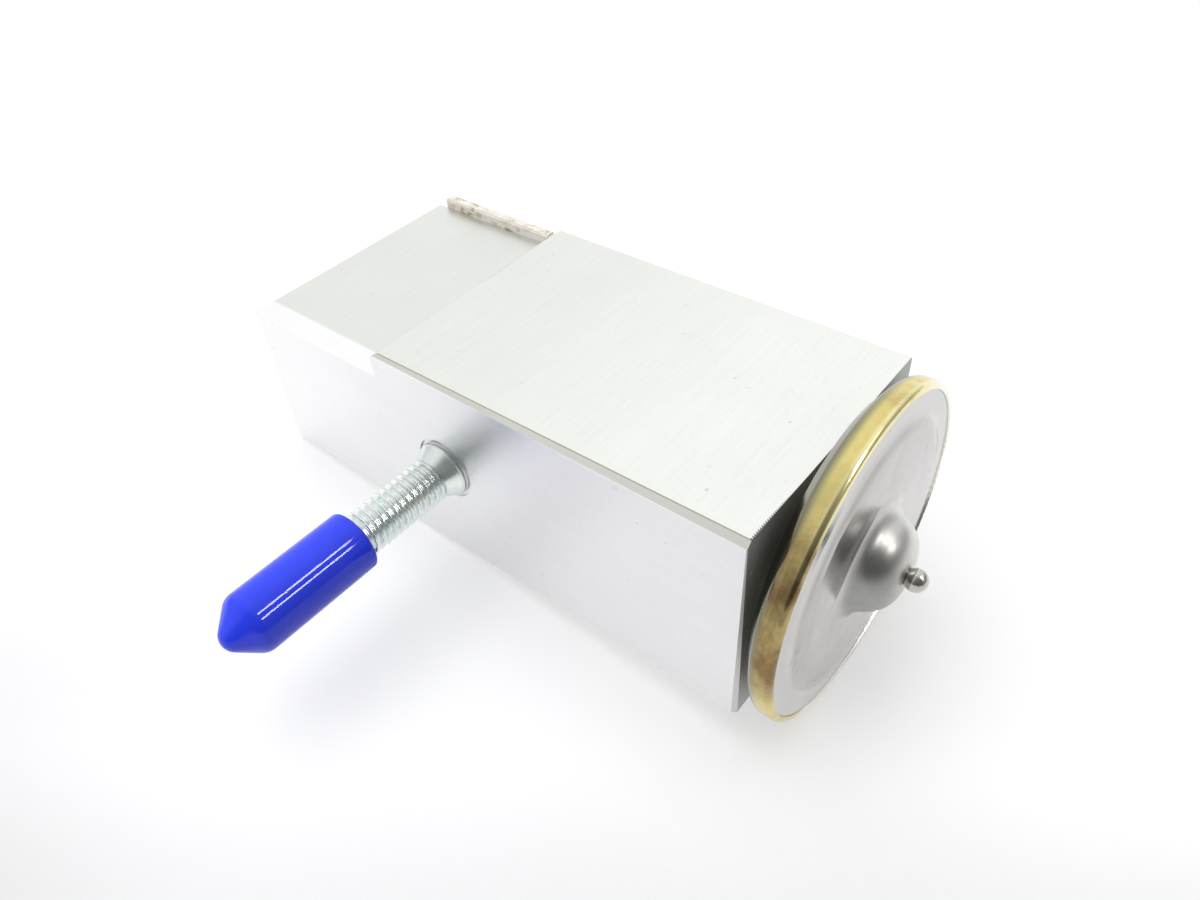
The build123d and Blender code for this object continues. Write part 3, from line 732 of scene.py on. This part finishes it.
def floor_material():
    """Pale paper that glows a little where it is seen or mirrored, and is clear from below."""
    t = Tree("floor")
    t.set(Roughness=0.9, Specular_IOR_Level=0.1)
    x, y, _ = t.position()[0:3]

    def along(direction):
        """Distance from the origin along a direction of the floor, in metres."""
        return t.math("ADD", t.both(x, direction[0]), t.both(y, direction[1]))

    distance = t.math("SQRT", t.math("ADD", t.both(x, x), t.both(y, y)))
    # Painted shade: it falls off towards the picture's lower edge and its left corners, as the
    # photograph's does.
    down = along(picture_down)
    left_corner = t.span(along(picture_right), -15 * MM, -70 * MM)
    left_corner = t.both(left_corner, t.span(down, 10 * MM, 50 * MM))
    far_left = t.span(x, -0.15, -0.36)
    falls = [(0.15, t.span(down, 48 * MM, 70 * MM)), (0.20, left_corner), (0.30, far_left)]
    fall = 1.0
    for amount, mask in falls:
        fall = t.both(t.flip(t.both(mask, amount)), fall)
    grain = t.noise((0.4, 0.4, 0.4), detail=2)
    paper = t.times(t.ramp(grain, [(0.3, (0.655, 0.655, 0.66)), (0.7, (0.665, 0.665, 0.67))]), fall)

    # Beyond the part's surroundings, in front of it, what it mirrors is the dark room.
    rays = t.nodes.new("ShaderNodeLightPath")
    dark_room = t.both(t.span(distance, 0.11, 0.30), t.flip(rays.outputs["Is Camera Ray"]))
    dark_room = t.both(dark_room, t.span(y, 0.07, -0.02))
    t.colour(t.mix(dark_room, paper, (0.20, 0.20, 0.21)))

    # Far out it turns as white as the backdrop.
    glow = t.nodes.new("ShaderNodeEmission")
    glow.inputs["Color"].default_value = (1, 1, 1, 1)
    strength = t.math("MAXIMUM", t.both(fall, floor_glow), t.span(distance, 0.38, 0.80))
    t.link(strength, glow.inputs["Strength"])
    seen = t.math("MAXIMUM", rays.outputs["Is Camera Ray"], rays.outputs["Is Glossy Ray"])
    glowing = t.nodes.new("ShaderNodeAddShader")
    t.link(t.shader.outputs[0], glowing.inputs[0])
    t.link(glow.outputs[0], glowing.inputs[1])
    from_above = t.mix_shader(seen, t.shader.outputs[0], glowing.outputs[0])
    side = t.nodes.new("ShaderNodeNewGeometry")
    clear = t.nodes.new("ShaderNodeBsdfTransparent")
    one_sided = t.mix_shader(side.outputs["Backfacing"], from_above, clear.outputs[0])
    t.link(one_sided, t.nodes["Material Output"].inputs["Surface"])
    return t.material


def make_floor():
    """One large face under the part, leaning so that the part rests on it as on a table."""
    mesh = bpy.data.meshes.new("floor")
    signs = [(-1, -1), (1, -1), (1, 1), (-1, 1)]
    corners = [(floor_size * a, floor_size * b, 0) for a, b in signs]
    mesh.from_pydata(corners, [], [(0, 1, 2, 3)])
    floor = new_object("floor", mesh)
    lean = Matrix.Rotation(floor_lean(), 4, "Y")
    floor.matrix_world = Matrix.Translation((step_x, 0, block_low[2])) @ lean
    mesh.materials.append(floor_material())


def make_world():
    """A grey tent with two bright sides and a darker open one; plain white to the camera."""
    world = bpy.data.worlds.new("studio")
    bpy.context.scene.world = world
    world.use_nodes = True
    sky, links = world.node_tree.nodes, world.node_tree.links
    sky.clear()
    place = sky.new("ShaderNodeTexCoord")
    split = sky.new("ShaderNodeSeparateXYZ")
    links.new(place.outputs["Generated"], split.inputs[0])

    def smooth(value, from_min, from_max, to_min, to_max):
        """A smooth change from one level to another."""
        node = sky.new("ShaderNodeMapRange")
        node.interpolation_type = "SMOOTHSTEP"
        limits = {"From Min": from_min, "From Max": from_max, "To Min": to_min, "To Max": to_max}
        for name, limit in limits.items():
            node.inputs[name].default_value = limit
        links.new(value, node.inputs["Value"])
        return node.outputs["Result"]

    def toward(direction, full, gone):
        """1 within the angle full of a direction, 0 beyond the angle gone, in degrees."""
        node = sky.new("ShaderNodeVectorMath")
        node.operation = "DOT_PRODUCT"
        node.inputs[1].default_value = Vector(direction).normalized()
        links.new(place.outputs["Generated"], node.inputs[0])
        full, gone = math.cos(math.radians(full)), math.cos(math.radians(gone))
        return smooth(node.outputs["Value"], gone, full, 0.0, 1.0)

    def combine(operation, a, b, c=0.0):
        """A sum on values, each a number or another node's output."""
        node = sky.new("ShaderNodeMath")
        node.operation = operation
        for socket, value in zip(node.inputs, (a, b, c)):
            if hasattr(value, "links"):
                links.new(value, socket)
            else:
                socket.default_value = value
        return node.outputs[0]

    def backdrop(colour):
        """A plain background of one colour."""
        node = sky.new("ShaderNodeBackground")
        node.inputs["Color"].default_value = colour
        return node

    level = smooth(split.outputs["Z"], 0.0, 0.7, tent_low, tent_high)
    for direction, full, gone, brightness in bright_sides:
        lit = toward(direction, full, gone)
        level = combine("MULTIPLY_ADD", combine("SUBTRACT", brightness, level), lit, level)
    direction, full, gone, dimmed = open_side
    shade = combine("MULTIPLY_ADD", toward(direction, full, gone), dimmed - 1.0, 1.0)
    tent = backdrop((0.985, 0.99, 1.0, 1))
    links.new(combine("MULTIPLY", level, shade), tent.inputs["Strength"])
    white = backdrop((1, 1, 1, 1))
    rays = sky.new("ShaderNodeLightPath")
    pick = sky.new("ShaderNodeMixShader")
    links.new(rays.outputs["Is Camera Ray"], pick.inputs[0])
    links.new(tent.outputs[0], pick.inputs[1])
    links.new(white.outputs[0], pick.inputs[2])
    out = sky.new("ShaderNodeOutputWorld")
    links.new(pick.outputs[0], out.inputs["Surface"])


def area_light(name, place, target, size, power, mirrored):
    """A lamp that is either mirrored by the metals or lights the matt surfaces, not both."""
    data = bpy.data.lights.new(name, "AREA")
    data.shape = "RECTANGLE"
    data.size, data.size_y = size
    data.energy = power
    lamp = bpy.data.objects.new(name, data)
    bpy.context.scene.collection.objects.link(lamp)
    aim = Vector(target) - Vector(place)
    turn = aim.to_track_quat("-Z", "Y").to_matrix().to_4x4()
    lamp.matrix_world = Matrix.Translation(place) @ turn
    lamp.visible_glossy = mirrored
    lamp.visible_diffuse = not mirrored


def make_camera():
    """The photograph's view: its place and axes were fitted to the block's corners and the rim."""
    focal_pixels = 943.43
    right = Vector((0.7826, 0.6200, -0.0556))
    down = Vector((0.3885, -0.5563, -0.7346))
    place = Vector((71.13, -71.29, 97.83)) * MM
    ahead = right.cross(down).normalized()
    up = -down.normalized()
    side = up.cross(-ahead).normalized()
    data = bpy.data.cameras.new("camera")
    data.sensor_fit = "HORIZONTAL"
    data.sensor_width = 36.0
    data.lens = focal_pixels / IMAGE_WIDTH * data.sensor_width
    data.clip_start = 0.005
    camera = bpy.data.objects.new("camera", data)
    bpy.context.scene.collection.objects.link(camera)
    axes = Matrix((side, up, -ahead)).transposed().to_4x4()
    camera.matrix_world = Matrix.Translation(place) @ axes
    bpy.context.scene.camera = camera


# ---------------------------------------------------------------- dressing

finishes = {
    block_aluminium: ["valve_body"],
    blue_vinyl: ["stud_cap"],
    gold_zinc_steel: ["head_lower_shell"],
    stainless_sheet: ["head_upper_shell", "diaphragm", "damping_spring"],
    polished_steel: ["charge_plug", "actuating_pin", "valve_ball"],
    turned_brass: ["diaphragm_stop", "ball_carrier", "adjusting_nut"],
    rod_aluminium: ["feeler_rod"],
    spring_steel: ["superheat_spring", "rod_seal_clip"],
    seal_rubber: ["head_seal_ring", "rod_seal_ring", "adjuster_seal_ring"],
}

make_camera()
for make, names in finishes.items():
    finish = make()
    for name in names:
        for material_slot in nodes[name].material_slots:
            material_slot.material = finish

stud = threaded_stud()
stud.data.materials.append(zinc_steel())
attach(stud, "valve")
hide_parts("mounting_stud")

cover = pressed_cover()
cover.data.materials.append(nodes["head_upper_shell"].material_slots[0].material)
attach(cover, "valve")
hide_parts("head_upper_shell")

strip = foam_strip()
strip.data.materials.append(cream_foam())
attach(strip, "valve")
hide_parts("seal_strip")

make_floor()
make_world()
valve = (0, 0, 0)
area_light("overhead", (-0.14, -0.04, 0.68), valve, size=(0.55, 0.45), power=1.7, mirrored=False)
area_light("front_fill", (-0.10, -0.60, 0.35), valve, size=(0.7, 0.5), power=1.8, mirrored=False)
for name, angle in tube_angles.items():
    lean = math.radians(angle)
    place = (tube_distance * math.sin(lean), tube_y, tube_distance * math.cos(lean))
    area_light(name, place, (0, tube_y, 0), tube_size, tube_power, mirrored=True)
area_light("window", (0.34, 0.26, 0.43), valve, size=(0.13, 0.10), power=0.07, mirrored=True)

bpy.context.scene.view_settings.view_transform = "Standard"
